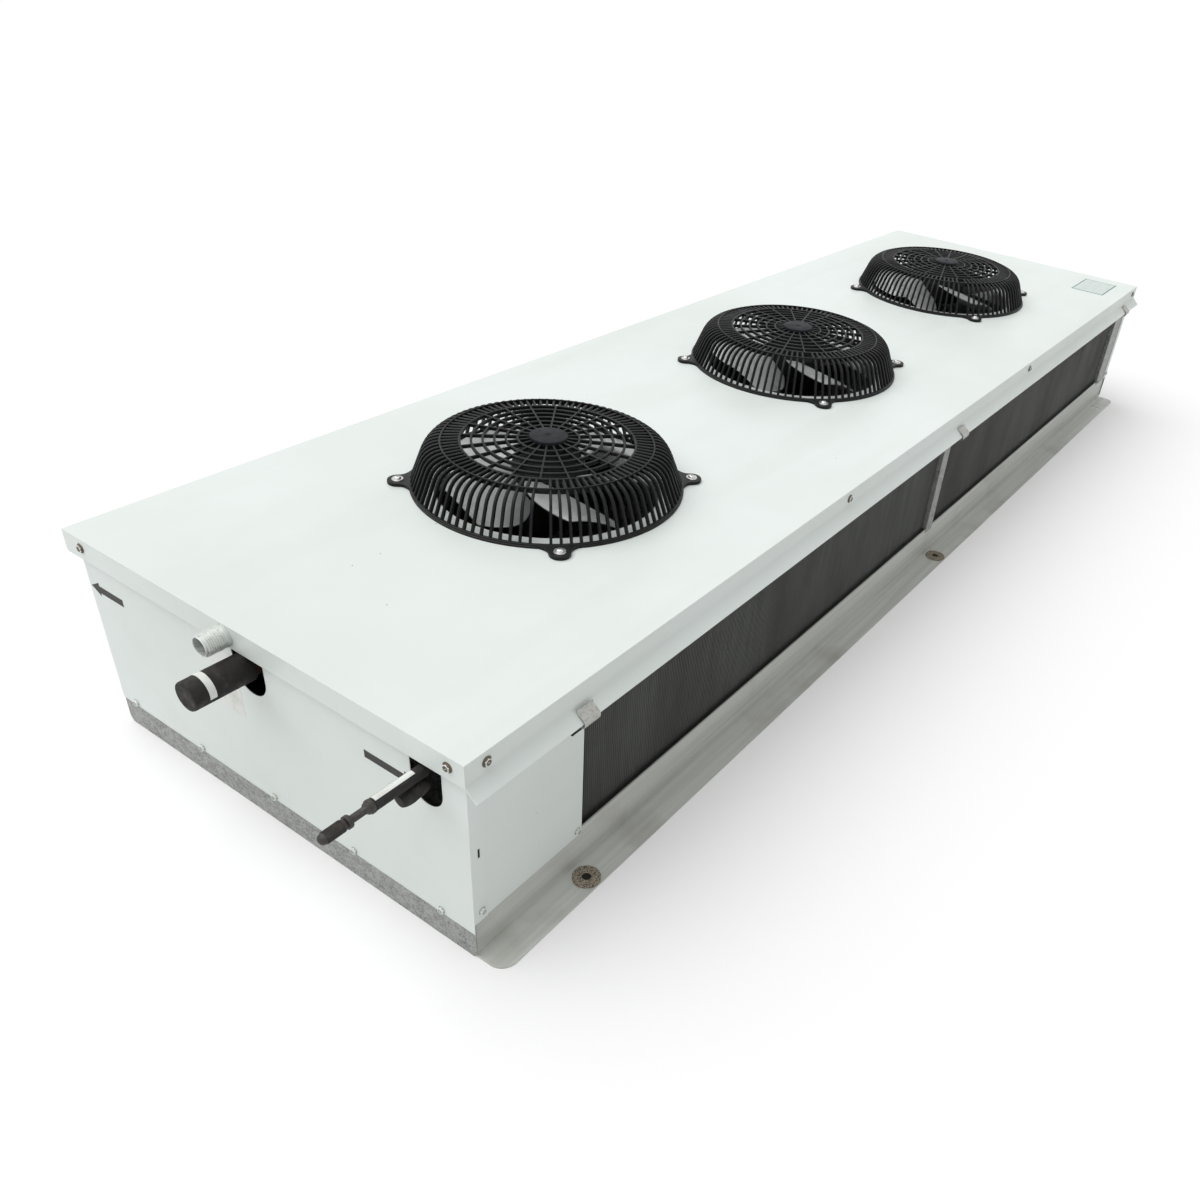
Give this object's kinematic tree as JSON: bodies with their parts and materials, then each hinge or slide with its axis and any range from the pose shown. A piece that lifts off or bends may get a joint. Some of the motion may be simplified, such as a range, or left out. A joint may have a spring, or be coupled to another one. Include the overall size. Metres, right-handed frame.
{
  "type": "walk-in unit cooler",
  "caption": "Low-profile walk-in unit cooler on hanging rails, with finned side coils, a drip tray whose axial fans sit under basket guards, and suction, liquid and drain stubs.",
  "frame": {"origin": "centre of the casing on the plane of the rails' undersides, which is the ceiling plane once the cooler is hung", "axes": "+X along the long side from the connection end to the far end, +Z from the ceiling side to the fan and tray side, +Y towards the back long side; modelled fan side up, as it stands before it is hung"},
  "size_m": [2.4142, 0.701, 0.352],
  "materials": {
    "casing_paint": "satin",
    "galvanised_sheet": "satin",
    "coil_fins": "satin",
    "guard_plastic": "satin",
    "motor_black": "matte",
    "fan_metal": "satin",
    "copper_pipe": "satin",
    "black_rubber": "matte",
    "black_fitting": "matte",
    "zinc_stub": "satin",
    "fibre_washer": "matte",
    "clip_steel": "satin"
  },
  "bodies": {
    "casing": {"base_sheet": "galvanised_sheet", "hanger_washers": "fibre_washer", "rail_front": "galvanised_sheet", "upper_channel_front": "galvanised_sheet", "side_cover_front": "casing_paint", "far_cover_front": "casing_paint", "mid_post_front": "casing_paint", "coil_fins_front": "coil_fins", "coil_plates_front": "galvanised_sheet", "rail_back": "galvanised_sheet", "upper_channel_back": "galvanised_sheet", "side_cover_back": "casing_paint", "far_cover_back": "casing_paint", "mid_post_back": "casing_paint", "coil_fins_back": "coil_fins", "coil_plates_back": "galvanised_sheet", "end_panel_connection": "casing_paint", "end_panel_far": "casing_paint", "fan_tray": "casing_paint", "tray_clips": "clip_steel", "guard_1": "guard_plastic", "guard_2": "guard_plastic", "guard_3": "guard_plastic", "motor_1": "motor_black", "motor_2": "motor_black", "motor_3": "motor_black", "suction_line": "copper_pipe", "suction_cap": "black_rubber", "liquid_line": "copper_pipe", "liquid_sleeve": "black_rubber", "liquid_grommet": "black_rubber", "access_valve": "black_fitting", "valve_cap": "black_fitting", "drain_stub": "zinc_stub"},
    "fan_rotor_1": {"impeller_1": "fan_metal"},
    "fan_rotor_2": {"impeller_2": "fan_metal"},
    "fan_rotor_3": {"impeller_3": "fan_metal"}
  },
  "joints": [
    {"name": "fan_1_spin", "type": "hinge", "parent": "casing", "child": "fan_rotor_1", "pos_m": [-0.657, 0.0065, 0.283], "axis": [0, 0, 1], "continuous": true},
    {"name": "fan_2_spin", "type": "hinge", "parent": "casing", "child": "fan_rotor_2", "pos_m": [0.013, 0.0065, 0.283], "axis": [0, 0, 1], "continuous": true},
    {"name": "fan_3_spin", "type": "hinge", "parent": "casing", "child": "fan_rotor_3", "pos_m": [0.683, 0.0065, 0.283], "axis": [0, 0, 1], "continuous": true}
  ]
}
